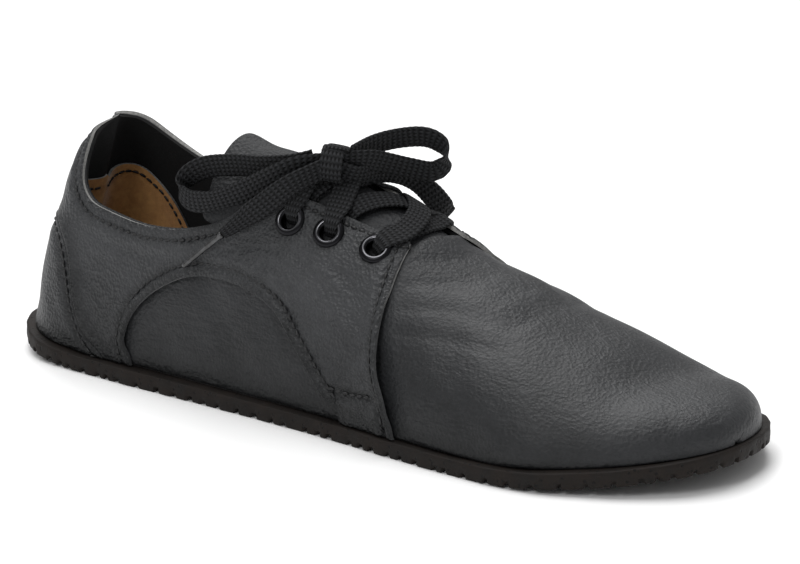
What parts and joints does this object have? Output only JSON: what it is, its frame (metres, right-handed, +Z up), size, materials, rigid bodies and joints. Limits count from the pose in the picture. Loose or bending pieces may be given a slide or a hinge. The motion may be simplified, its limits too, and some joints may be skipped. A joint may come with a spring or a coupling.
{
  "type": "barefoot shoe",
  "caption": "Right barefoot lace-up shoe: thin flexible lugged sole, wide rounded toe, soft leather upper open at collar and throat, arched quarter overlays, flat lace in a bow",
  "frame": {"origin": "On the floor, on the tread lug under the heel, 52 mm ahead of the sole's back end and on its middle line", "axes": "+X toward the toe, +Y toward the medial (inner) side, +Z up; the shoe stands on its tread"},
  "size_m": [0.26, 0.0888, 0.0823],
  "materials": {
    "upper_leather": "dyed full-grain leather, fine pebble, satin",
    "counter_leather": "dyed full-grain leather, a little thicker, satin",
    "tongue_leather": "dyed leather, soft, satin",
    "heel_suede": "brown suede, brushed nap",
    "insole_board": "black textile over thin foam",
    "sole_rubber": "moulded dark rubber, matt",
    "eyelet_metal": "black plated eyelet, polished rim",
    "lace_braid": "black flat braid",
    "lace_tip": "dark film tip, glossy"
  },
  "bodies": {
    "root": {"outsole": "sole_rubber", "insole": "insole_board", "upper": "upper_leather", "quarter_lateral": "upper_leather", "quarter_medial": "upper_leather", "heel_counter": "counter_leather", "tongue": "tongue_leather", "heel_patch": "heel_suede", "eyelet_lateral_1": "eyelet_metal", "eyelet_lateral_2": "eyelet_metal", "eyelet_lateral_3": "eyelet_metal", "eyelet_medial_1": "eyelet_metal", "eyelet_medial_2": "eyelet_metal", "eyelet_medial_3": "eyelet_metal", "lace_bar_1": "lace_braid", "lace_bar_2": "lace_braid", "lace_bar_3": "lace_braid", "lace_knot": "lace_braid", "lace_loop_left": "lace_braid", "lace_loop_right": "lace_braid", "lace_end_left": "lace_braid", "lace_end_right": "lace_braid", "lace_tip": "lace_tip"}
  },
  "joints": []
}
